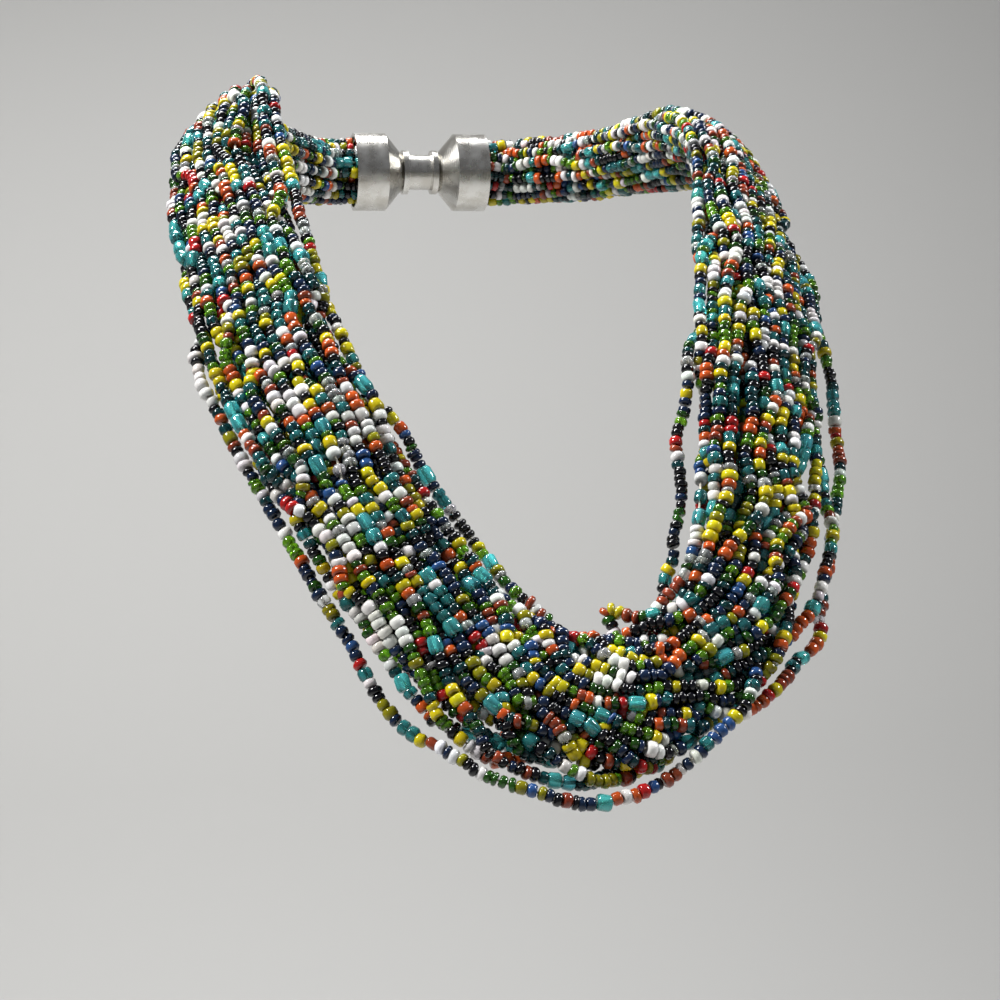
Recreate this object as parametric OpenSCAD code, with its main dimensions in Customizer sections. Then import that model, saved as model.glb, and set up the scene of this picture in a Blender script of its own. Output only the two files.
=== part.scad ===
// Multi strand seed bead necklace in its worn form, millimetres.
// The origin is where the clasp lies on the nape. +Z is up and the front of the neck is towards -Y.
// Some thirty strands of small glass beads run as one flat bundle from cup to cup of a plain clasp.
// A few strands hang clear of the bundle for part of the way, and each of those stretches is a tube.

/* [Worn loop] */
// Width of the loop over the shoulders, between the middles of the bundle
loop_w = 124; // [112:2:138]
// How far the front lies before the nape
loop_reach = 160; // [146:2:176]
// How far the front hangs below the nape
loop_drop = 148; // [134:2:164]

/* [Bead bundle] */
// Widest width of the bundle, which it has at the front
bundle_w = 34; // [30:1:38]
// Thickness of the bundle where it is widest. Elsewhere it is thicker, as its section keeps its area
bundle_d = 9.8; // [8:0.2:12]
// Diameter of a strand, which is that of its larger beads
strand_d = 2.9; // [2.2:0.1:3.2]
// Depth of the grooves between the outermost strands
groove = 1.2; // [0.6:0.1:1.6]
// How far the lay of the strands turns from clasp to clasp, degrees
lay_turn = 150; // [0:10:240]

/* [Clasp] */
// Outside diameter of a cup at its mouth
cup_d = 22; // [19:0.5:25]
// Length of a cup
cup_l = 14; // [10:0.5:18]
// Wall of a cup at its mouth
cup_wall = 1; // [0.8:0.1:1.5]
// Depth of the bore that takes the strands
cup_bore_l = 8; // [6:0.5:9]
// Diameter of the barrel between the cups
barrel_d = 10; // [7:0.5:12]
// Length of the barrel between the cups
barrel_l = 10; // [6:0.5:16]
// Diameter of the two rims that frame the barrel
rim_d = 12.5; // [9:0.5:15]
// Width of each rim
rim_w = 1.6; // [1:0.1:2.5]

/* [Fit] */
// Clear space between pieces that lie against each other
gap = 0.3; // [0.2:0.05:0.5]

/* [Hidden] */
$fn = 64;

UP = [0, 0, 1];
// Rings, strands on the rim of the bundle's section, and points for each of them
BUNDLE_RINGS = 72;
RIM_STRANDS = 18;
STRAND_POINTS = 3;
// Exponent that squares up the bundle's oval section
OVAL = 0.86;
// Sides of a loose strand's tube and the spacing of its rings, in strand diameters
TUBE_SIDES = 8;
TUBE_STEP = 2.2;
// Points that the curves get between two chosen points
ROUTE_STEPS = 8;
// Half of the stretch over which the route's direction is measured, as a share of its length
DIRECTION_STEP = 0.008;

// Places along the clasp, from its middle
cup_start = barrel_l / 2;
cup_mouth = cup_start + cup_l;
bore_d = cup_d - 2 * cup_wall;
bore_floor = cup_mouth - cup_bore_l;
// The clasp's axis stands off the nape by the radius of its cups
clasp_y = cup_d / 2;
// The strands end just short of the floor and walls of the bores
bundle_end = bore_floor + gap;
bundle_end_d = bore_d - 6 * gap;

// Middle of the bundle outside the cups, from the left one round the front to the right one, in
// percent of half the loop's width, of its reach and of its drop
OPEN_ROUTE = [
    [-53, 3.5, -0.5], [-75, -7, -1], [-88.5, -20.5, -2], [-93.5, -34, -3.5],
    [-98.5, -46, -7], [-100, -55, -17], [-98.5, -62.5, -26.5], [-96, -70, -36.5],
    [-90, -77, -48], [-80, -84, -60.5], [-62.5, -90, -76], [-39, -95.5, -92],
    [-16, -99, -99.5], [9, -99.5, -100.5], [29, -98, -96.8], [48.7, -96, -90.2],
    [63.1, -92, -78.3], [73.3, -86, -65.6], [79.5, -80, -52], [87.5, -72, -38],
    [94, -63, -27.5], [98, -55, -18.5], [99.5, -46.5, -11], [99.5, -34, -6.5],
    [92.5, -20.5, -4], [77, -6.5, -2], [53, 3.5, -0.5]
];
PERCENT = [loop_w / 2, loop_reach, loop_drop] / 100;
// The strands leave the cups in line with them for this far
LEAD = 0.5 * cup_l;
lead_end = cup_mouth + LEAD;
ROUTE = concat(
    [for (x = [-bundle_end, -cup_mouth, -lead_end]) [x, clasp_y, 0]],
    [for (p = OPEN_ROUTE) [p[0] * PERCENT[0], p[1] * PERCENT[1], p[2] * PERCENT[2]]],
    [for (x = [lead_end, cup_mouth, bundle_end]) [x, clasp_y, 0]]
);

// Columns: share of the route, width as a share of the bundle's widest, slope of its flat side
SECTIONS = [
    [0.041, 0.55, 45], [0.095, 0.65, 45], [0.147, 0.77, 42], [0.194, 0.89, 36],
    [0.231, 0.93, 33], [0.278, 0.92, 32], [0.319, 0.89, 34], [0.35, 0.88, 39],
    [0.396, 0.855, 45], [0.431, 0.85, 51], [0.456, 0.91, 57], [0.481, 0.99, 63],
    [0.502, 0.98, 65], [0.517, 0.85, 64], [0.53, 0.81, 62], [0.556, 0.83, 57],
    [0.578, 0.72, 51], [0.602, 0.83, 45], [0.635, 0.86, 36], [0.674, 0.93, 34],
    [0.722, 0.9, 34], [0.768, 0.83, 38], [0.813, 0.79, 42], [0.86, 0.75, 44],
    [0.898, 0.65, 45], [0.942, 0.55, 45]
];

// Loose stretches of strand beside the bundle's edge. Columns: share of the route, distance of the
// strand's middle outside the edge in strand diameters, depth from -1 at the body to 1 at the front
LOWER = [
    [0.325, 0.7, 0], [0.354, 0.2, -0.8], [0.387, 0, -1], [0.41, 0.4, -0.8], [0.433, 0.7, -0.7],
    [0.454, 1.3, -0.6], [0.469, 0.8, 0.1], [0.478, 0.8, 0.1], [0.486, 0.7, 0.2], [0.496, 1.1, 0],
    [0.504, 0.9, 0], [0.514, 0.8, 0], [0.525, 0.5, 0.5], [0.533, 0.4, 0.6]
];
RIGHT = [
    [0.553, 0.7, 0], [0.558, 0.8, -0.3], [0.564, 1.2, -0.6], [0.57, 2.4, -0.7], [0.578, 2.4, -0.7],
    [0.59, 1.9, -0.7], [0.604, 2.1, -0.7], [0.629, 2.4, -0.7], [0.645, 2.8, -0.7], [0.664, 2.4, -0.7],
    [0.686, 1.9, -0.7], [0.706, 1, -0.5], [0.725, 0.7, 0]
];
RIGHT_SECOND = [
    [0.584, 1.4, 0], [0.597, 1.3, 0], [0.61, 1.4, 0], [0.619, 1.1, -0.2], [0.628, 0.7, -0.4]
];
INNER_LEFT = [
    [0.377, 0.6, 0], [0.388, 0.8, -0.4], [0.417, 1.25, -0.6], [0.433, 1.2, -0.5], [0.444, 0.8, -0.3],
    [0.453, 0.65, -0.1]
];
INNER_RIGHT = [
    [0.572, 0.6, -0.5], [0.579, 0.6, -0.5], [0.59, 0.8, -0.5], [0.603, 0.4, -0.6], [0.629, 1.3, -0.6],
    [0.645, 0.6, -0.5], [0.658, 0.6, -0.2]
];

function unit(v) = v / norm(v);

// Point at share t of the smooth curve from b to c, with a before and d after
function curve_point(a, b, c, d, t) =
    (2 * b + (c - a) * t + (2 * a - 5 * b + 4 * c - d) * t * t
        + (3 * b - a - 3 * c + d) * t * t * t) / 2;

// Smooth curve through all the points
function smooth(points, steps) =
    let (n = len(points))
    let (q = concat([2 * points[0] - points[1]], points, [2 * points[n - 1] - points[n - 2]]))
    concat(
        [for (i = [1:n - 1], k = [0:steps - 1]) curve_point(q[i - 1], q[i], q[i + 1], q[i + 2], k / steps)],
        [points[n - 1]]
    );

// Distance of each point from the first, along the path
function distances(path) =
    [for (i = 0, s = 0; i < len(path); i = i + 1, s = s + (i < len(path) ? norm(path[i] - path[i - 1]) : 0)) s];

// One column of a path against the share of its length
function column(path, k) =
    let (s = distances(path), total = s[len(s) - 1])
    [for (i = [0:len(path) - 1]) [s[i] / total, path[i][k]]];

function on_columns(columns, t) = [for (c = columns) lookup(t, c)];

ROUTE_PATH = smooth(ROUTE, ROUTE_STEPS);
ROUTE_COLUMNS = [for (k = [0:2]) column(ROUTE_PATH, k)];
ROUTE_LENGTH = distances(ROUTE_PATH)[len(ROUTE_PATH) - 1];

// Share of the route that lies in a cup
IN_CUP = cup_bore_l / ROUTE_LENGTH;

// Width, depth and slope of the section against the share of the route, round inside the cups
function section_column(rows) = concat(
    [[0, bundle_end_d], [IN_CUP, bundle_end_d]], rows, [[1 - IN_CUP, bundle_end_d], [1, bundle_end_d]]
);
WIDTHS = section_column([for (row = SECTIONS) [row[0], bundle_w * row[1]]]);
DEPTHS = section_column([for (row = SECTIONS) [row[0], bundle_d / row[1]]]);
SLOPES = [for (row = SECTIONS) [row[0], row[2]]];

function half_width(t) = lookup(t, WIDTHS) / 2;
function half_depth(t) = lookup(t, DEPTHS) / 2;

// Directions along the route, level away from the neck, and square to both
function along(t) = unit(
    on_columns(ROUTE_COLUMNS, min(1, t + DIRECTION_STEP)) - on_columns(ROUTE_COLUMNS, max(0, t - DIRECTION_STEP))
);
function level(t) = unit(cross(along(t), UP));
function rising(t) = cross(level(t), along(t));

// Directions across the bundle to its outer edge, and out of its flat front
function across(t) = let (a = lookup(t, SLOPES)) cos(a) * level(t) - sin(a) * rising(t);
function outward(t) = let (a = lookup(t, SLOPES)) sin(a) * level(t) + cos(a) * rising(t);

// Point at share t of the route, u across the bundle and n out of it
function place(t, u, n) = on_columns(ROUTE_COLUMNS, t) + u * across(t) + n * outward(t);

function squared(x) = sign(x) * pow(abs(x), OVAL);

// Section of the bundle: an oval whose rim is grooved between its strands
function bundle_ring(t) =
    let (n = RIM_STRANDS * STRAND_POINTS, w = half_width(t), d = half_depth(t))
    [for (i = [0:n - 1])
        let (
            angle = 360 * i / n - lay_turn * t,
            x = squared(cos(angle)),
            y = squared(sin(angle)),
            inwards = unit([x / w, y / d]) * (i % STRAND_POINTS == 0 ? groove : 0)
        )
        place(t, w * x - inwards[0], d * y - inwards[1])
    ];

// Section of a tube round a path's point, square to the path
function tube_ring(columns, t, step) =
    let (
        ahead = unit(on_columns(columns, min(1, t + step)) - on_columns(columns, max(0, t - step))),
        side = unit(cross(ahead, [0, -1, 0])),
        top = cross(side, ahead)
    )
    [for (i = [0:TUBE_SIDES - 1])
        let (angle = 360 * i / TUBE_SIDES)
        on_columns(columns, t) + strand_d / 2 * (cos(angle) * side + sin(angle) * top)
    ];

// Closed solid through rings with the same number of points
module skin(rings) {
    n = len(rings[0]);
    last = len(rings) - 1;
    polyhedron(
        points = [for (ring = rings) each ring],
        faces = concat(
            [[for (i = [n - 1:-1:0]) i]],
            [for (j = [0:last - 1], i = [0:n - 1])
                [j * n + i, j * n + (i + 1) % n, (j + 1) * n + (i + 1) % n, (j + 1) * n + i]],
            [[for (i = [0:n - 1]) last * n + i]]
        )
    );
}

// Strand that leaves the bundle's outer edge (side 1) or inner edge (side -1) and joins it again
module loose_strand(rows, side) {
    path = smooth(
        [for (row = rows)
            place(row[0], side * (half_width(row[0]) + row[1] * strand_d), row[2] * half_depth(row[0]))],
        ROUTE_STEPS
    );
    columns = [for (k = [0:2]) column(path, k)];
    spans = ceil(distances(path)[len(path) - 1] / (TUBE_STEP * strand_d));
    skin([for (i = [0:spans]) tube_ring(columns, i / spans, 0.5 / spans)]);
}

module bead_bundle() {
    color("teal") skin([for (i = [0:BUNDLE_RINGS - 1]) bundle_ring(i / (BUNDLE_RINGS - 1))]);
}

module loose_strand_lower() {
    color("goldenrod") loose_strand(LOWER, 1);
}

module loose_strand_right() {
    color("firebrick") loose_strand(RIGHT, 1);
}

module loose_strand_right_second() {
    color("ivory") loose_strand(RIGHT_SECOND, 1);
}

module loose_strand_inner_left() {
    color("orangered") loose_strand(INNER_LEFT, -1);
}

module loose_strand_inner_right() {
    color("royalblue") loose_strand(INNER_RIGHT, -1);
}

// Barrel with two rims, and a cup at each end whose bore takes the gathered strands
module clasp() {
    half = [
        [barrel_d / 2, cup_start - rim_w], [rim_d / 2, cup_start - rim_w], [rim_d / 2, cup_start],
        [barrel_d / 2, cup_start], [cup_d / 2, bore_floor - cup_wall], [cup_d / 2, cup_mouth],
        [bore_d / 2, cup_mouth], [bore_d / 2, bore_floor], [0, bore_floor]
    ];
    other_half = [for (i = [len(half) - 1:-1:0]) [half[i][0], -half[i][1]]];
    color("silver") translate([0, clasp_y, 0]) rotate([0, 90, 0])
        rotate_extrude() polygon(concat(half, other_half));
}

bead_bundle();
loose_strand_lower();
loose_strand_right();
loose_strand_right_second();
loose_strand_inner_left();
loose_strand_inner_right();
clasp();
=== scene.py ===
"""Multi strand necklace of small glass seed beads, in its worn form.

Every strand is a string of separate beads. The strands share one bundle, whose middle line and section
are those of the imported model. They are laid in it side by side and over each other by pushing apart, over
and over, those that are too close. It is a tight fit, so beads of neighbouring strands still run into each
other, mostly by less than half a millimetre and at some crossings by much more. Lengths of the necklace and
the camera's place are in millimetres, those of the backdrop, the lights and the materials in metres.
"""

import bpy
import numpy as np
from mathutils import Matrix


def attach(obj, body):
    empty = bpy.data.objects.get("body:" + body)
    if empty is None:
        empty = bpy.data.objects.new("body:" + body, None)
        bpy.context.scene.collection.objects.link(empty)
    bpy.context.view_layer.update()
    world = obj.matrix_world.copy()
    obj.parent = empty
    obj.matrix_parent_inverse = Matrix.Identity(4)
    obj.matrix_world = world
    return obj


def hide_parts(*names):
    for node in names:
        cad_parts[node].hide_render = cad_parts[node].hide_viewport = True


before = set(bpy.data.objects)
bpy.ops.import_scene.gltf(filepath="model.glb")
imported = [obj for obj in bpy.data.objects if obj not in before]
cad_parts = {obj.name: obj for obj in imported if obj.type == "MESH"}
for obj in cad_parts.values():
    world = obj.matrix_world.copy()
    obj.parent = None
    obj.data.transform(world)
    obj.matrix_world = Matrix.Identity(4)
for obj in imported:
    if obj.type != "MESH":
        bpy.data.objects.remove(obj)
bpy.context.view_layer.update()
rng = np.random.default_rng(11)

MM = 0.001

# The loop's width, its reach to the front and its drop, and the bundle's middle line outside the clasp, in
# percent of half that width, of that reach and of that drop
LOOP_W, LOOP_REACH, LOOP_DROP = 124, 160, 148
OPEN_ROUTE = [
    (-53, 3.5, -0.5), (-75, -7, -1), (-88.5, -20.5, -2), (-93.5, -34, -3.5),
    (-98.5, -46, -7), (-100, -55, -17), (-98.5, -62.5, -26.5), (-96, -70, -36.5),
    (-90, -77, -48), (-80, -84, -60.5), (-62.5, -90, -76), (-39, -95.5, -92),
    (-16, -99, -99.5), (9, -99.5, -100.5), (29, -98, -96.8), (48.7, -96, -90.2),
    (63.1, -92, -78.3), (73.3, -86, -65.6), (79.5, -80, -52), (87.5, -72, -38),
    (94, -63, -27.5), (98, -55, -18.5), (99.5, -46.5, -11), (99.5, -34, -6.5),
    (92.5, -20.5, -4), (77, -6.5, -2), (53, 3.5, -0.5),
]
# How far behind the nape the clasp's axis lies, how far from its middle the strands' ends, the cups' mouths
# and the end of the straight lead out of them lie, and the bundle's diameter there
CLASP_Y, BUNDLE_END, CUP_MOUTH, LEAD_END, END_D = 11, 11.3, 19.0, 26.0, 18.2

# The bundle's widest width and its depth there. It is as much deeper elsewhere as it is narrower.
# Columns: share of the route, width as a share of the widest, slope of the flat side in degrees
BUNDLE_W, BUNDLE_D = 34, 9.8
SECTIONS = [
    (0.041, 0.55, 45), (0.095, 0.65, 45), (0.147, 0.77, 42), (0.194, 0.89, 36),
    (0.231, 0.93, 33), (0.278, 0.92, 32), (0.319, 0.89, 34), (0.35, 0.88, 39),
    (0.396, 0.855, 45), (0.431, 0.85, 51), (0.456, 0.91, 57), (0.481, 0.99, 63),
    (0.502, 0.98, 65), (0.517, 0.85, 64), (0.53, 0.81, 62), (0.556, 0.83, 57),
    (0.578, 0.72, 51), (0.602, 0.83, 45), (0.635, 0.86, 36), (0.674, 0.93, 34),
    (0.722, 0.9, 34), (0.768, 0.83, 38), (0.813, 0.79, 42), (0.86, 0.75, 44),
    (0.898, 0.65, 45), (0.942, 0.55, 45),
]

# Stretches of strand that hang clear of the bundle's outer edge (side 1) or inner edge (side -1).
# Rows: share of the route, distance outside the edge in strand diameters, depth from -1 to 1
STRAND_D = 2.9
LOOSE = {
    "loose_strand_lower": (1, [
        (0.325, 0.7, 0), (0.354, 0.2, -0.8), (0.387, 0, -1), (0.41, 0.4, -0.8), (0.433, 0.7, -0.7),
        (0.454, 1.3, -0.6), (0.469, 0.8, 0.1), (0.478, 0.8, 0.1), (0.486, 0.7, 0.2), (0.496, 1.1, 0),
        (0.504, 0.9, 0), (0.514, 0.8, 0), (0.525, 0.5, 0.5), (0.533, 0.4, 0.6),
    ]),
    "loose_strand_right": (1, [
        (0.553, 0.7, 0), (0.558, 0.8, -0.3), (0.564, 1.2, -0.6), (0.57, 2.4, -0.7), (0.578, 2.4, -0.7),
        (0.59, 1.9, -0.7), (0.604, 2.1, -0.7), (0.629, 2.4, -0.7), (0.645, 2.8, -0.7), (0.664, 2.4, -0.7),
        (0.686, 1.9, -0.7), (0.706, 1, -0.5), (0.725, 0.7, 0),
    ]),
    "loose_strand_right_second": (1, [
        (0.584, 1.4, 0), (0.597, 1.3, 0), (0.61, 1.4, 0), (0.619, 1.1, -0.2), (0.628, 0.7, -0.4),
    ]),
    "loose_strand_inner_left": (-1, [
        (0.377, 0.6, 0), (0.388, 0.8, -0.4), (0.417, 1.25, -0.6), (0.433, 1.2, -0.5), (0.444, 0.8, -0.3),
        (0.453, 0.65, -0.1),
    ]),
    "loose_strand_inner_right": (-1, [
        (0.572, 0.6, -0.5), (0.579, 0.6, -0.5), (0.59, 0.8, -0.5), (0.603, 0.4, -0.6), (0.629, 1.3, -0.6),
        (0.645, 0.6, -0.5), (0.658, 0.6, -0.2),
    ]),
}

# Steps in each span of the bundle's route and of a loose strand's rows. How far, as shares of the route, the
# route's direction is taken ahead and behind, and a loose strand's hold fades past its ends
ROUTE_STEPS, LOOSE_STEPS = 12, 8
DIRECTION_REACH, LOOSE_FADE = 0.008, 0.02

# Strands, stations along them, and the room that a strand takes beside its neighbour
STRANDS = 32
STATIONS = 420
ROOM = 2.9
# The strands' wandering: random levels along a strand, steps from one to the next, its strength all along as
# a share of the section, what is added to that at the front, where that is most, and how far it reaches
LEVELS, LEVEL_STEPS = 10, 24
TANGLE, FRONT_TANGLE, FRONT_AT, FRONT_REACH = 0.17, 0.30, 0.58, 0.13
# How far out a loose strand starts to settle, as a share of its first loose place, and a distance past all
# room, which keeps a strand from pushing itself
LOOSE_START, FAR_APART = 0.8, 1e3
# Settling: rounds, the share of them with spare room, and that room, the share of them in which strands are
# drawn back to their meant places, and how strongly, how strongly they are pushed apart and smoothed, and
# how often they are spread to the edges, from which round on, and how strongly
ROUNDS = 220
SPARE_ROUNDS, SPARE_ROOM = 0.8, 1.04
DRAWN_ROUNDS, DRAWN = 0.75, 0.2
PUSH, SMOOTH = 0.42, 0.38
SPREAD_EVERY, SPREAD_FIRST, SPREAD = 20, 10, 0.8
# A kink: where along the route one strand of the inner edge stands up in a small loop, how far, half of the
# loop's length as a share of the route, and the kinds and the diameter of the beads on its top
KINK_AT, KINK_H, KINK_L = 0.531, 7.0, 0.0034
KINK_KINDS, KINK_D = (3, 1, 1, 4, 4), 3.1
# How far the strands turn about one another, degrees: evenly from clasp to clasp, and at the front, where
# those on top cross from the inner edge to the outer one between these shares of the route
EVEN_LAY, FRONT_LAY = 30, 280
TWIST_FROM, TWIST_TO = 0.43, 0.58
# Exponent of the bundle's squared oval, |x|^p + |y|^p = 1
OVAL_POWER = 2.33

# The camera's sensor width in millimetres, and its focal length as a share of that
SENSOR, FOCAL_SHARE = 36, 1.9
# The point that the soft boxes face, how far the floor reaches to the front and sides, how low it lies, the
# wall behind, its height, and the radius of the sweep between them
LIT = (0, -0.1, -0.06)
FLOOR_REACH, FLOOR_Z, WALL_Y, WALL_H, BEND = 6.0, -0.65, 1.1, 3.5, 0.4


def curve_through(points, steps):
    """Catmull-Rom curve through the points: each span is a cubic whose end slopes are half the chord
    between the neighbours of its ends."""
    p = np.asarray(points, float)
    q = np.vstack([2 * p[0] - p[1], p, 2 * p[-1] - p[-2]])
    a, b, c, d = (q[k:len(q) - 3 + k, None] for k in range(4))
    t = (np.arange(steps) / steps)[None, :, None]
    spans = (2 * b + (c - a) * t + (2 * a - 5 * b + 4 * c - d) * t**2 + (3 * b - a - 3 * c + d) * t**3) / 2
    return np.vstack([spans.reshape(-1, p.shape[1]), p[-1:]])


def distances(path):
    """Length of the path up to each of its points."""
    return np.concatenate([[0], np.cumsum(np.linalg.norm(np.diff(path, axis=0), axis=1))])


def along_path(path, s):
    """Points of the path at the lengths s."""
    d = distances(path)
    return np.stack([np.interp(s, d, path[:, k]) for k in range(path.shape[1])], axis=-1)


def unit(v):
    """Vectors of length one in the same directions."""
    return v / np.linalg.norm(v, axis=-1, keepdims=True)


def slow_waves():
    """One row of slow random waves for each strand: a cubic curve through random levels."""
    levels = rng.normal(0, 1, (LEVELS, STRANDS))
    curve = curve_through(levels, LEVEL_STEPS)
    at = np.linspace(0, len(curve) - 1, STATIONS)
    return np.stack([np.interp(at, np.arange(len(curve)), c) for c in curve.T])


class Bundle:
    """The bundle's middle line, its section's half width and half depth, and the directions across it
    to its outer edge and out of its flat front, at even stations from the left cup to the right one."""

    def __init__(self):
        percent = np.array([LOOP_W / 2, LOOP_REACH, LOOP_DROP]) / 100
        left = [(-x, CLASP_Y, 0) for x in (BUNDLE_END, CUP_MOUTH, LEAD_END)]
        right = [(x, CLASP_Y, 0) for x in (LEAD_END, CUP_MOUTH, BUNDLE_END)]
        route = np.vstack([left, np.array(OPEN_ROUTE) * percent, right])
        path = curve_through(route, ROUTE_STEPS)
        self.length = distances(path)[-1]
        self.t = np.linspace(0, 1, STATIONS)
        self.middle = along_path(path, self.t * self.length)
        ahead = along_path(path, np.minimum(self.t + DIRECTION_REACH, 1) * self.length)
        behind = along_path(path, np.maximum(self.t - DIRECTION_REACH, 0) * self.length)
        forward = unit(ahead - behind)
        level = unit(np.cross(forward, (0, 0, 1)))
        rising = np.cross(level, forward)
        rows = np.array(SECTIONS)
        in_cup = (CUP_MOUTH - BUNDLE_END) / self.length
        shares = np.concatenate([[0, in_cup], rows[:, 0], [1 - in_cup, 1]])
        ends = [END_D, END_D]
        self.half_w = np.interp(self.t, shares, np.concatenate([ends, BUNDLE_W * rows[:, 1], ends])) / 2
        self.half_d = np.interp(self.t, shares, np.concatenate([ends, BUNDLE_D / rows[:, 1], ends])) / 2
        slope = np.radians(np.interp(self.t, rows[:, 0], rows[:, 2]))[:, None]
        self.across = np.cos(slope) * level - np.sin(slope) * rising
        self.outward = np.sin(slope) * level + np.cos(slope) * rising

    def place(self, u, n):
        """Points u across the section and n out of it, in millimetres, for rows of stations."""
        return self.middle + u[..., None] * self.across + n[..., None] * self.outward


def loose_targets(bundle):
    """For each loose stretch, where its strand has to be at each station, and how firmly: 1 along the
    stretch, falling to 0 over a short way past its ends."""
    targets = []
    for side, rows in LOOSE.values():
        rows = np.array(rows)
        chosen = curve_through(rows, LOOSE_STEPS)
        t = np.clip(bundle.t, rows[0, 0], rows[-1, 0])
        out = np.interp(t, chosen[:, 0], chosen[:, 1])
        depth = np.interp(t, chosen[:, 0], chosen[:, 2])
        firmness = np.clip(1 - np.abs(bundle.t - t) / LOOSE_FADE, 0, 1)
        targets.append((side * (bundle.half_w + out * STRAND_D), depth * bundle.half_d, firmness))
    return targets


def twist(bundle):
    """How far the lay has turned at each station: evenly, and faster at the front in one smooth step."""
    front = np.clip((bundle.t - TWIST_FROM) / (TWIST_TO - TWIST_FROM), 0, 1)
    return np.radians(EVEN_LAY * bundle.t + FRONT_LAY * front**2 * (3 - 2 * front))


def fill_width(u, room_w, firm, share):
    """The strands spread towards the two edges of the section, by a share of what they fall short. Those
    that are held firm stay."""
    low = np.where(firm > 0, 0, u).min(axis=0)
    high = np.where(firm > 0, 0, u).max(axis=0)
    spread = room_w * (2 * (u - low) / np.maximum(high - low, 1e-6) - 1)
    return u + share * (spread - u) * (1 - firm)


def lay_strands(bundle):
    """Places of all strands in the section at each station, and which strand has the kink. They are meant to
    lie on a sunflower spiral that turns with the lay and wanders at random. From there, over and over, those
    closer than their room are pushed apart, drawn back a little, smoothed along their length and kept inside
    the squared oval. The first strands are the loose ones, held firm along their loose stretches."""
    i = np.arange(STRANDS)
    radius = np.sqrt((i + 0.5) / STRANDS)[:, None]
    angle = (i * np.pi * (3 - np.sqrt(5)))[:, None] - twist(bundle)
    tangle = TANGLE + FRONT_TANGLE * np.exp(-(((bundle.t - FRONT_AT) / FRONT_REACH) ** 2))
    meant_u = radius * np.cos(angle) + slow_waves() * tangle
    meant_n = radius * np.sin(angle) + slow_waves() * tangle
    outside = np.maximum(np.hypot(meant_u, meant_n), 1)
    room_w = bundle.half_w - ROOM / 2
    room_d = bundle.half_d - ROOM / 2
    meant_u, meant_n = meant_u / outside * room_w, meant_n / outside * room_d
    u, n = meant_u.copy(), meant_n.copy()
    targets = loose_targets(bundle)
    firm = np.zeros((STRANDS, STATIONS))
    for k, (tu, tn, w) in enumerate(targets):
        firm[k] = w
        first = np.argmax(w)
        u[k] = u[k] - u[k, first] + LOOSE_START * tu[first]
    apart = np.eye(STRANDS)[:, :, None] * FAR_APART
    for round_ in range(ROUNDS):
        room = ROOM * (SPARE_ROOM if round_ < SPARE_ROUNDS * ROUNDS else 1.0)
        drawn = DRAWN if round_ < DRAWN_ROUNDS * ROUNDS else 0.0
        u = u + drawn * (meant_u - u) * (1 - firm)
        n = n + drawn * (meant_n - n) * (1 - firm)
        du = u[:, None] - u[None]
        dn = n[:, None] - n[None]
        gap = np.hypot(du, dn) + apart + 1e-6
        push = np.clip(room - gap, 0, None) / gap * PUSH
        u = u + (push * du).sum(axis=1)
        n = n + (push * dn).sum(axis=1)
        for s in (u, n):
            s[:, 1:-1] += SMOOTH * (s[:, 2:] + s[:, :-2] - 2 * s[:, 1:-1])
        far = ((np.abs(u) / room_w) ** OVAL_POWER + (np.abs(n) / room_d) ** OVAL_POWER) ** (1 / OVAL_POWER)
        shrink = firm + (1 - firm) / np.maximum(far, 1)
        u, n = u * shrink, n * shrink
        for k, (tu, tn, w) in enumerate(targets):
            u[k] += (tu - u[k]) * w
            n[k] += (tn - n[k]) * w
        if round_ % SPREAD_EVERY == SPREAD_FIRST:
            u = fill_width(u, room_w, firm, SPREAD)
    u = fill_width(u, room_w, firm, 1.0)
    kinked = len(targets) + np.argmin(u[len(targets):, int(KINK_AT * STATIONS)])
    u[kinked] -= KINK_H * np.exp(-(((bundle.t - KINK_AT) / KINK_L) ** 2))
    return u, n, kinked


class Bead:
    """One kind of bead: its share of all beads, colour, diameter and length in millimetres, how square
    its shoulders are from 0 to 1, and whether it is see-through."""

    def __init__(self, share, colour, d, length, square=0.3, clear=False):
        self.share, self.colour, self.d, self.length = share, colour, d, length
        self.square, self.clear = square, clear


# Opaque beads from white, yellow, orange and red to black and blue, then see-through ones in turquoise and
# green and with hardly any colour
KINDS = [
    Bead(0.116, (0.640, 0.640, 0.620), 2.94, 1.95, 0.40),
    Bead(0.080, (0.470, 0.390, 0.006), 3.00, 2.08, 0.55),
    Bead(0.042, (0.190, 0.175, 0.004), 2.88, 1.90, 0.45),
    Bead(0.040, (0.400, 0.062, 0.010), 2.92, 1.92, 0.50),
    Bead(0.036, (0.220, 0.036, 0.014), 2.84, 1.70, 0.45),
    Bead(0.020, (0.340, 0.010, 0.010), 2.90, 1.86, 0.45),
    Bead(0.165, (0.002, 0.002, 0.004), 2.70, 1.52, 0.20),
    Bead(0.095, (0.005, 0.014, 0.042), 2.78, 1.68, 0.35),
    Bead(0.022, (0.018, 0.060, 0.180), 2.84, 1.75, 0.40),
    Bead(0.058, (0.034, 0.260, 0.275), 3.02, 2.25, 0.60, True),
    Bead(0.030, (0.100, 0.620, 0.640), 3.12, 3.20, 0.65, True),
    Bead(0.080, (0.007, 0.076, 0.088), 2.88, 1.75, 0.40, True),
    Bead(0.095, (0.160, 0.430, 0.014), 2.74, 1.62, 0.30, True),
    Bead(0.058, (0.028, 0.140, 0.011), 2.72, 1.58, 0.30, True),
    Bead(0.042, (0.680, 0.720, 0.710), 2.80, 1.62, 0.35, True),
]
# Sides of a bead, how much painted highlight and painted shade see-through glass gets in streaks along it,
# and how much painted shade darkens the beads in their dimples and on their rims
BEAD_SIDES = 10
PAINTED_STREAK = 0.35
DIMPLE_PAINTED_SHADE, RIM_PAINTED_SHADE = 0.3, 0.8
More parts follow.
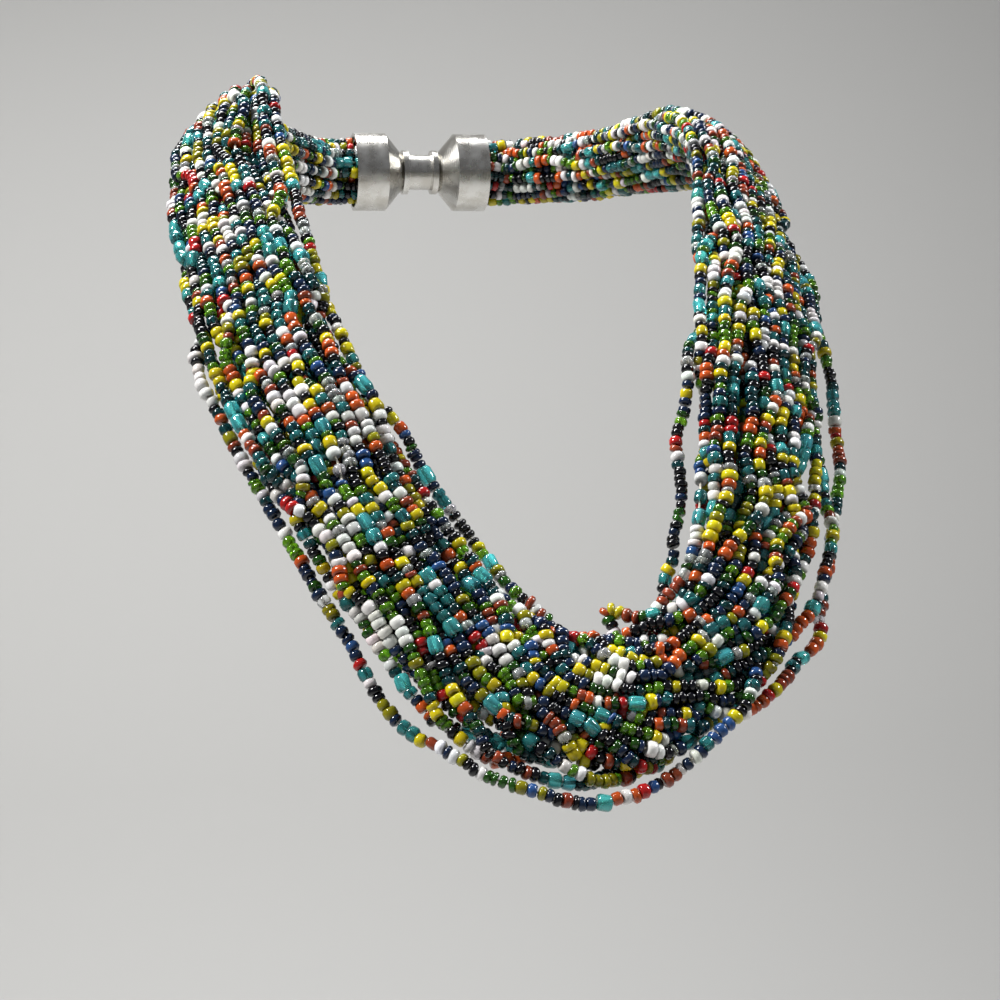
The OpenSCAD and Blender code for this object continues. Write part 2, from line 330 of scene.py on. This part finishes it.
# A bead's profile: its rims' radius as a share of its own, round and square, the shoulders' distance from the
# middle as a share of the length, round and square, and those of the rims and of the dimples' bottoms
RIM_ROUND, RIM_SQUARE = 0.70, 0.88
SHOULDER_ROUND, SHOULDER_SQUARE = 0.17, 0.36
RIM_PLACE, DIMPLE_PLACE = 0.47, 0.38
# Scatter of the beads' sizes as shares of their kind's, each with its least and its most, and of squareness
D_SCATTER = (0.075, 0.78, 1.22)
LENGTH_SCATTER = (0.16, 0.55, 1.7)
SQUARE_SCATTER, SQUARE_MOST = 0.12, 0.85
# How many beads of one kind come together, and how often
RUNS, RUN_SHARES = [1, 2, 3, 4], [0.86, 0.10, 0.03, 0.01]
# Beads enough for the longest strand
BEADS_MOST = 600
# Bare thread after a bead, millimetres: nearly always the first, and the share of beads after which it is
# between the least and the most of the other two
BARE = 0.02
BARE_LITTLE = (0.03, 0.2, 0.7)
BARE_LONG = (0.003, 2, 5)
# How much a bead is tipped at random, as a slope, and how far it sits off its chord, millimetres
TIPPED, OFF_CHORD = 0.15, 0.12
# Scatter of a bead's brightness, with its least and its most, that of its hue, and the palest that glass gets
BRIGHT_SCATTER, HUE_SCATTER, PALEST = (0.14, 0.6, 1.4), 0.03, 0.9
# The thread's radius, the sides of its tube, and the length between the tube's rings
THREAD_RADIUS, THREAD_SIDES, THREAD_STEP = 0.25, 5, 5.5


def of_kinds(quality, kinds):
    """A quality of the kinds, such as the diameter, for each bead of a row."""
    return np.array([getattr(k, quality) for k in KINDS])[kinds]


def scatter(shape, spread, least, most):
    """Random factors about 1 with a bell-shaped spread, none past the least and the most."""
    return np.clip(rng.normal(1, spread, shape), least, most)


def string_of_kinds():
    """Random kinds in a row, where now and then two to four beads of one kind come together."""
    share = np.array([k.share for k in KINDS])
    kinds = rng.choice(len(KINDS), BEADS_MOST, p=share / share.sum())
    runs = rng.choice(RUNS, BEADS_MOST, p=RUN_SHARES)
    return np.repeat(kinds, runs)[:BEADS_MOST]


def bead_sizes(kinds):
    """Diameter, length and squareness of each bead, scattered about those of its kind."""
    count = len(kinds)
    d = of_kinds("d", kinds) * scatter(count, *D_SCATTER)
    length = of_kinds("length", kinds) * scatter(count, *LENGTH_SCATTER)
    square = np.clip(of_kinds("square", kinds) + rng.normal(0, SQUARE_SCATTER, count), 0, SQUARE_MOST)
    return d, length, square


def beads_on(path, kinds):
    """Beads threaded on a path: each sits on the chord between its two ends and is tipped a little. Here and
    there a little of the thread stays bare, and seldom a few millimetres of it.
    Gives the beads that fit, as middle, axis, diameter, length, squareness and kind."""
    d, length, square = bead_sizes(kinds)
    bare = BARE
    for often, least, most in (BARE_LITTLE, BARE_LONG):
        bare = np.where(rng.random(len(kinds)) < often, rng.uniform(least, most, len(kinds)), bare)
    ends = np.cumsum(length + bare)
    fit = int(np.searchsorted(ends, distances(path)[-1]))
    ends = np.concatenate([[0], ends[:fit]])
    at = along_path(path, ends)
    axis = unit(unit(at[1:] - at[:-1]) + rng.normal(0, TIPPED, (fit, 3)))
    middle = (at[1:] + at[:-1]) / 2 + rng.normal(0, OFF_CHORD, (fit, 3))
    return middle, axis, d[:fit], length[:fit], square[:fit], kinds[:fit]


def bead_mesh(middle, axis, d, length, square):
    """Points and triangles of many beads. A bead is a profile turned about its axis: the dimple where the
    thread goes in, the rim of the end, the shoulder, and the same again. The squarer a bead, the nearer
    its rims and shoulders come to a cylinder's edge. A bead's points are its two dimples, then rows."""
    count, sides = len(middle), BEAD_SIDES
    full = np.ones(count)
    rim = RIM_ROUND + (RIM_SQUARE - RIM_ROUND) * square
    shoulder = SHOULDER_ROUND + (SHOULDER_SQUARE - SHOULDER_ROUND) * square
    r = np.stack([rim, full, full, rim], axis=1) * d[:, None] / 2
    z = np.stack([-RIM_PLACE * full, -shoulder, shoulder, RIM_PLACE * full], axis=1) * length[:, None]
    side = unit(np.cross(axis, rng.normal(0, 1, (count, 3))))
    top = np.cross(axis, side)
    turn = 2 * np.pi * np.arange(sides) / sides
    round_ = np.cos(turn)[None, :, None] * side[:, None] + np.sin(turn)[None, :, None] * top[:, None]
    rows = r[:, :, None, None] * round_[:, None] + z[:, :, None, None] * axis[:, None, None]
    dimples = np.array([-DIMPLE_PLACE, DIMPLE_PLACE])[None, :, None] * (length[:, None] * axis)[:, None]
    points = middle[:, None] + np.concatenate([dimples, rows.reshape(count, -1, 3)], axis=1)
    j = np.arange(sides)
    k = (j + 1) % sides
    last = 2 + 3 * sides
    faces = [np.stack([0 * j, 2 + k, 2 + j], axis=1), np.stack([0 * j + 1, last + j, last + k], axis=1)]
    for a in range(2, last, sides):
        faces.append(np.stack([a + j, a + k, a + sides + k], axis=1))
        faces.append(np.stack([a + j, a + sides + k, a + sides + j], axis=1))
    faces = np.vstack(faces)
    faces = faces[None] + (np.arange(count) * points.shape[1])[:, None, None]
    return points, faces.reshape(-1, 3)


def new_piece(name, points, faces, materials, face_materials, colours=None):
    """A smooth shaded mesh object from arrays, with a colour for each point if colours are given."""
    mesh = bpy.data.meshes.new(name)
    mesh.vertices.add(len(points))
    mesh.vertices.foreach_set("co", np.asarray(points, np.float32).ravel())
    mesh.loops.add(faces.size)
    mesh.loops.foreach_set("vertex_index", faces.astype(np.int32).ravel())
    mesh.polygons.add(len(faces))
    mesh.polygons.foreach_set("loop_start", np.arange(len(faces), dtype=np.int32) * faces.shape[1])
    for material in materials:
        mesh.materials.append(material)
    mesh.polygons.foreach_set("material_index", np.asarray(face_materials, np.int32))
    mesh.update(calc_edges=True)
    mesh.validate()
    mesh.shade_smooth()
    if colours is not None:
        layer = mesh.color_attributes.new("glass_colour", "FLOAT_COLOR", "POINT")
        layer.data.foreach_set("color", np.asarray(colours, np.float32).ravel())
    piece = bpy.data.objects.new(name, mesh)
    bpy.context.scene.collection.objects.link(piece)
    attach(piece, "root")
    return piece


class Value:
    """A socket of a material's nodes with arithmetic: each operator adds one Math node."""

    def __init__(self, shader, socket):
        self.shader, self.socket = shader, socket

    def _math(self, operation, a, b):
        return self.shader.node("ShaderNodeMath", {"operation": operation}, {0: a, 1: b}).out(0)

    def __add__(self, other):
        return self._math("ADD", self, other)

    def __mul__(self, other):
        return self._math("MULTIPLY", self, other)

    __radd__ = __add__
    __rmul__ = __mul__


class Node:
    """A shader node, whose outputs are read as values."""

    def __init__(self, shader, node):
        self.shader, self.node = shader, node

    def out(self, key):
        return Value(self.shader, self.node.outputs[key])


class Shader:
    """A material's node tree, with one method that adds any node."""

    def __init__(self, name, constants):
        self.material = bpy.data.materials.new(name)
        self.material.use_nodes = True
        self.tree = self.material.node_tree
        self.surface = self.tree.nodes["Principled BSDF"]
        for key, value in constants.items():
            self.surface.inputs[key].default_value = value

    def node(self, kind, settings, inputs):
        """A new node of a kind, with its settings and the values or links of its inputs."""
        made = self.tree.nodes.new(kind)
        for key, value in settings.items():
            if key == "stops":
                for k, (place, colour) in enumerate(value):
                    stops = made.color_ramp.elements
                    stop = stops[k] if k < len(stops) else stops.new(place)
                    stop.position, stop.color = place, colour
            else:
                setattr(made, key, value)
        for key, value in inputs.items():
            self.link(value, made.inputs[key])
        return Node(self, made)

    def link(self, value, socket):
        if isinstance(value, Value):
            self.tree.links.new(value.socket, socket)
        else:
            socket.default_value = value

    def feed(self, key, value):
        self.link(value, self.surface.inputs[key])

    def place(self):
        """The place of a point on the piece, metres."""
        return self.node("ShaderNodeTexCoord", {}, {}).out("Object")

    def clouds(self, place, scale, detail):
        """The level of a cloudy pattern."""
        inputs = {"Vector": place, "Scale": scale, "Detail": detail}
        return self.node("ShaderNodeTexNoise", {}, inputs).out("Fac")

    def relief(self, height, strength, depth):
        """Fine relief from the level of a value, at most depth metres deep."""
        bump = self.node("ShaderNodeBump", {}, {"Strength": strength, "Distance": depth, "Height": height})
        self.feed("Normal", bump.out("Normal"))


def ramp(shader, value, dark, light):
    """Colours from dark to light with the level of a value, each given as its level and its colour."""
    stops = [(level, (*colour, 1)) for level, colour in (dark, light)]
    return shader.node("ShaderNodeValToRGB", {"stops": stops}, {"Fac": value}).out("Color")


def glass(name, constants, mottle, bump):
    """Seed bead glass: the colour of each bead, mottled a little, on a surface that isn't quite even."""
    shader = Shader(name, constants)
    place = shader.place()
    colour = shader.node("ShaderNodeAttribute", {"attribute_name": "glass_colour"}, {}).out("Color")
    cloud = shader.clouds(place, 900.0, 2.0)
    shade = ramp(shader, cloud, (0.3, (0.55, 0.55, 0.55)), (0.7, (1.25, 1.25, 1.25)))
    mottled = shader.node(
        "ShaderNodeMix", {"data_type": "RGBA", "blend_type": "MULTIPLY"}, {0: mottle, 6: colour, 7: shade}
    )
    shader.feed("Base Color", mottled.out(2))
    shader.relief(shader.clouds(place, 1400.0, 1.0), bump, 0.0002)
    shader.feed("Roughness", cloud * 0.07 + constants["Roughness"])
    return shader.material


def thread_material():
    """Pale twisted beading thread: fine slanting bands of light and shade, from a diagonal wave."""
    shader = Shader("beading_thread", {"Roughness": 0.75, "Sheen Weight": 0.3})
    place = shader.place()
    twist = shader.node("ShaderNodeTexWave", {"bands_direction": "DIAGONAL"},
                        {"Vector": place, "Scale": 900.0, "Distortion": 1.0}).out("Fac")
    shader.feed("Base Color", ramp(shader, twist, (0.0, (0.50, 0.45, 0.35)), (1.0, (0.80, 0.77, 0.68))))
    shader.relief(twist, 0.5, 0.0001)
    return shader.material


def clasp_material():
    """Satin silver-coloured metal: fine lathe lines round the clasp's axis, faint clouding of its gloss."""
    shader = Shader("satin_metal", {"Metallic": 1.0, "Roughness": 0.28})
    place = shader.place()
    lines = shader.node("ShaderNodeTexWave", {"bands_direction": "X"},
                        {"Vector": place, "Scale": 700.0, "Distortion": 0.6, "Detail": 2.0}).out("Fac")
    cloud = shader.clouds(place, 220.0, 4.0)
    shader.feed("Base Color", ramp(shader, cloud, (0.35, (0.50, 0.48, 0.44)), (0.65, (0.68, 0.67, 0.64))))
    shader.feed("Roughness", cloud * 0.22 + 0.16)
    shader.relief(lines, 0.25, 0.00005)
    return shader.material


def strand_piece(name, path, nodes, glasses, kinked):
    """One strand: its beads, coloured one by one, with painted shade in their dimples and on their rims, and
    see-through ones with painted highlights and painted shade in streaks round them. On a kink's top
    the kinds of the beads are chosen ones."""
    middle, axis, d, length, square, kinds = beads_on(path, string_of_kinds())
    if kinked:
        top = path[round(KINK_AT * (STATIONS - 1))]
        first = np.argmin(np.linalg.norm(middle - top, axis=1))
        kinds[first:first + len(KINK_KINDS)] = KINK_KINDS
        d[first:first + len(KINK_KINDS)] = KINK_D
    points, faces = bead_mesh(middle, axis, d, length, square)
    colour = of_kinds("colour", kinds) * scatter((len(kinds), 1), *BRIGHT_SCATTER)
    colour = np.clip(colour * rng.normal(1, HUE_SCATTER, colour.shape), 0, PALEST)
    # Painted shade at each of a bead's points: its dimples, then its rows from rim to rim
    rows = [RIM_PAINTED_SHADE, 1, 1, RIM_PAINTED_SHADE]
    edge = np.concatenate([[DIMPLE_PAINTED_SHADE] * 2, np.repeat(rows, BEAD_SIDES)])
    # Painted highlight and painted shade: see-through beads lighter and darker in turn round them, in streaks
    # along them
    painted_streaks = np.concatenate([[0, 0], np.tile((-1.0) ** np.arange(BEAD_SIDES), len(rows))])
    clear = of_kinds("clear", kinds).astype(int)
    colours = np.ones((len(kinds), len(edge), 4))
    colours[..., :3] = colour[:, None] * (edge * (1 + PAINTED_STREAK * clear[:, None] * painted_streaks))[..., None]
    glass_of_faces = np.repeat(clear, len(faces) // len(kinds))
    piece = new_piece(
        name, points.reshape(-1, 3) * MM, faces, glasses, glass_of_faces, colours.reshape(-1, 4)
    )
    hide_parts(*nodes)


def thread_piece(paths):
    """The threads of all strands: a thin tube of a few sides and constant radius along every strand's path.
    Its rings are turned by a slanting direction, which no strand follows."""
    sides = THREAD_SIDES
    slanting = (0.31, -0.22, 0.92)
    all_points, all_faces, base = [], [], 0
    for path in paths:
        total = distances(path)[-1]
        rings = int(total / THREAD_STEP) + 1
        at = along_path(path, np.linspace(0, total, rings))
        forward = unit(np.gradient(at, axis=0))
        side = unit(np.cross(forward, slanting))
        top = np.cross(side, forward)
        turn = 2 * np.pi * np.arange(sides) / sides
        ring = np.cos(turn)[None, :, None] * side[:, None] + np.sin(turn)[None, :, None] * top[:, None]
        all_points.append((at[:, None] + THREAD_RADIUS * ring).reshape(-1, 3))
        j, i = np.meshgrid(np.arange(rings - 1), np.arange(sides), indexing="ij")
        k = (i + 1) % sides
        quads = np.stack([j * sides + i, (j + 1) * sides + i, (j + 1) * sides + k, j * sides + k], axis=-1)
        all_faces.append(quads.reshape(-1, 4) + base)
        base += rings * sides
    faces = np.vstack(all_faces)
    points = np.vstack(all_points) * MM
    piece = new_piece(
        "beading_threads", points, faces, [thread_material()], np.zeros(len(faces))
    )
    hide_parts("bead_bundle")


def in_place(name, data, right, up, back, place):
    """A camera or lamp at a place in metres, with the directions of its right, its top and its back."""
    matrix = np.eye(4)
    matrix[:3, 0], matrix[:3, 1], matrix[:3, 2], matrix[:3, 3] = right, up, back, place
    made = bpy.data.objects.new(name, data)
    made.matrix_world = Matrix(matrix)
    bpy.context.scene.collection.objects.link(made)
    return made


def camera():
    """The photograph's viewing angle: in front, a little to the left and slightly from below, from far."""
    turn, rise, roll = np.radians(12.0), np.radians(-4.0), np.radians(-2.5)
    place = np.array([-93.5, -522.1, -133.6]) * MM
    back = np.array([-np.sin(turn) * np.cos(rise), -np.cos(turn) * np.cos(rise), np.sin(rise)])
    right = np.array([np.cos(turn), -np.sin(turn), 0])
    up = np.cross(back, right)
    rolled_right = np.cos(roll) * right + np.sin(roll) * up
    rolled_up = -np.sin(roll) * right + np.cos(roll) * up
    data = bpy.data.cameras.new("camera")
    data.sensor_width = SENSOR
    data.lens = SENSOR * FOCAL_SHARE
    data.clip_start = 0.01
    bpy.context.scene.camera = in_place("camera", data, rolled_right, rolled_up, back, place)


def soft_box(name, place, size, power, colour):
    """A square soft box at a place, which faces the middle of the necklace."""
    data = bpy.data.lights.new(name, "AREA")
    data.size, data.energy, data.color = size, power, colour
    back = unit(np.array(place) - np.array(LIT))
    right = unit(np.cross((0, 0, 1), back))
    in_place(name, data, right, np.cross(back, right), back, place)


def sweep():
    """A pale floor that sweeps up in a quarter circle into a wall: its side view, drawn out sideways."""
    a = np.linspace(0, np.pi / 2, 13)
    y = np.concatenate([[-FLOOR_REACH, 0.3], WALL_Y - BEND + BEND * np.sin(a), [WALL_Y]])
    z = np.concatenate([[0, 0], BEND - BEND * np.cos(a), [WALL_H]]) + FLOOR_Z
    x = np.array([-FLOOR_REACH, FLOOR_REACH])
    grid = np.stack(np.broadcast_arrays(x[:, None], y[None], z[None]), axis=-1)
    n = len(y)
    j = np.arange(n - 1)
    faces = np.stack([j, j + n, j + n + 1, j + 1], axis=-1)
    mesh = bpy.data.meshes.new("backdrop")
    mesh.from_pydata(grid.reshape(-1, 3).tolist(), [], faces.tolist())
    mesh.shade_smooth()
    paint = Shader("pale_backdrop", {"Base Color": (0.52, 0.517, 0.505, 1), "Roughness": 0.85})
    mesh.materials.append(paint.material)
    backdrop = bpy.data.objects.new("backdrop", mesh)
    bpy.context.scene.collection.objects.link(backdrop)


def lights():
    """Soft boxes to the left, the right and above, and a faint even light all round."""
    soft_box("window_left", (-0.75, -0.25, 0.65), 0.28, 19, (1.0, 0.99, 0.97))
    soft_box("window_right", (0.80, -0.30, 0.45), 0.28, 9.5, (0.97, 0.98, 1.0))
    soft_box("overhead", (-0.15, 0.15, 0.75), 0.45, 13, (1.0, 1.0, 1.0))
    world = bpy.data.worlds.new("world")
    world.use_nodes = True
    around = world.node_tree.nodes["Background"].inputs
    around["Color"].default_value = (0.93, 0.95, 1.0, 1)
    around["Strength"].default_value = 0.16
    bpy.context.scene.world = world


camera()
sweep()
lights()
bpy.context.scene.view_settings.view_transform = "Standard"
bundle = Bundle()
u, n, kinked = lay_strands(bundle)
paths = bundle.place(u, n)
opaque_look = {"Roughness": 0.07, "IOR": 1.5, "Specular IOR Level": 0.5}
clear_look = {"Roughness": 0.03, "IOR": 1.5, "Transmission Weight": 0.7, "Specular IOR Level": 0.6}
opaque = glass("opaque_glass", opaque_look, mottle=0.22, bump=0.02)
clear = glass("clear_glass", clear_look, mottle=0.15, bump=0.0)
for k in range(STRANDS):
    nodes = ["bead_bundle"] + list(LOOSE)[k:k + 1]
    strand_piece("strand_%02d" % (k + 1), paths[k], nodes, [opaque, clear], k == kinked)
thread_piece(paths)
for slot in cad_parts["clasp"].material_slots:
    slot.link = "OBJECT"
    slot.material = clasp_material()
